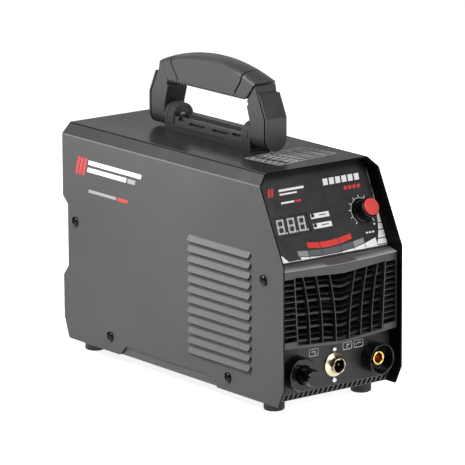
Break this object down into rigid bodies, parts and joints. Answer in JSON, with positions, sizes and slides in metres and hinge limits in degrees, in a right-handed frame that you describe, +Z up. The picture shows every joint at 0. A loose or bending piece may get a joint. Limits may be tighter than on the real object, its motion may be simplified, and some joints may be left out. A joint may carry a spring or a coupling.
{
  "type": "plasma cutter power source",
  "caption": "Portable plasma cutter with louvred steel cover, sloped control panel, bowed grille, front torch and work sockets, rear fan and folding carry handle",
  "frame": {"origin": "middle of the footprint, at the underside of the rubber feet", "axes": "+Y runs from the control panel to the rear panel along the case, +X is to the operator's right, +Z is up"},
  "size_m": [0.1456, 0.367, 0.3017],
  "materials": {
    "cover_paint": "grey fine-texture powder coat",
    "pan_paint": "dark powder coat",
    "black_screw": "black oxide",
    "front_plastic": "moulded, fine texture",
    "grille_plastic": "moulded, satin",
    "overlay_film": "printed film, satin",
    "smoked_lens": "smoked window",
    "display_face": "digit segments",
    "circuit_board": "solder mask",
    "led_plastic": "tinted epoxy",
    "black_plastic": "glossy moulded",
    "red_plastic": "moulded cap",
    "zinc": "zinc plated",
    "nickel": "plated, slightly yellow",
    "brass": "turned brass",
    "soft_rubber": "matt rubber",
    "handle_plastic": "moulded, textured",
    "grip_plastic": "soft overmould",
    "aluminium": "extruded",
    "ferrite": "sintered",
    "copper_wire": "enamelled winding",
    "capacitor_sleeve": "shrink sleeve",
    "hose_blue": "air hose",
    "lead_red": "cable sheath"
  },
  "bodies": {
    "housing": {"cover": "cover_paint", "cover_screws": "black_screw", "base_pan": "pan_paint", "rubber_feet": "soft_rubber", "foot_screws": "zinc", "front_frame": "front_plastic", "front_grille": "grille_plastic", "control_overlay": "overlay_film", "display_lens": "smoked_lens", "display_module": "display_face", "display_board": "circuit_board", "status_leds": "led_plastic", "pot_body": "zinc", "torch_shroud": "black_plastic", "torch_connector": "brass", "torch_nut": "zinc", "control_socket_shell": "nickel", "control_socket_insert": "black_plastic", "control_socket_pins": "brass", "control_socket_nut": "zinc", "control_socket_screws": "zinc", "work_socket_shell": "black_plastic", "work_socket_contact": "brass", "work_socket_nut": "zinc", "rear_panel": "pan_paint", "fan_frame": "front_plastic", "fan_guard": "zinc", "fan_screws": "zinc", "switch_housing": "black_plastic", "cable_gland": "front_plastic", "gland_cap_nut": "front_plastic", "gland_seal": "soft_rubber", "gland_locknut": "front_plastic", "air_inlet": "brass", "inlet_locknut": "brass", "ground_stud": "brass", "ground_nut": "brass", "handle_base": "handle_plastic", "handle_base_screws": "zinc", "handle_pins": "zinc", "main_board": "circuit_board", "board_standoffs": "zinc", "heatsinks": "aluminium", "transformer_core": "ferrite", "transformer_windings": "copper_wire", "bulk_capacitors": "capacitor_sleeve", "output_inductor": "copper_wire", "solenoid_valve": "black_plastic", "air_hose": "hose_blue", "work_lead": "lead_red"},
    "carry_handle": {"handle_frame": "handle_plastic", "handle_leg_caps": "handle_plastic", "handle_side_inserts": "grip_plastic"},
    "knob": {"knob_body": "black_plastic", "knob_cap": "red_plastic", "pot_shaft": "zinc"},
    "torch_dust_cap": {"torch_cap": "black_plastic"},
    "rocker": {"switch_rocker": "black_plastic"},
    "fan": {"fan_rotor": "front_plastic"}
  },
  "joints": [
    {"name": "handle_fold", "type": "hinge", "parent": "housing", "child": "carry_handle", "pos_m": [0, 0.0175, 0.236], "axis": [0, 1, 0], "range_deg": [-90, 90]},
    {"name": "knob_turn", "type": "hinge", "parent": "housing", "child": "knob", "pos_m": [0.0497, -0.13635, 0.17217], "axis": [0, -0.9011, 0.4337], "range_deg": [-135, 135]},
    {"name": "cap_pull", "type": "slide", "parent": "housing", "child": "torch_dust_cap", "axis": [0, -1, 0], "range_m": [0, 0.03]},
    {"name": "rocker_tilt", "type": "hinge", "parent": "housing", "child": "rocker", "pos_m": [-0.036, 0.156, 0.1725], "axis": [1, 0, 0], "range_deg": [0, 24]},
    {"name": "fan_spin", "type": "hinge", "parent": "housing", "child": "fan", "pos_m": [0, 0.1415, 0.0705], "axis": [0, 1, 0], "continuous": true}
  ]
}
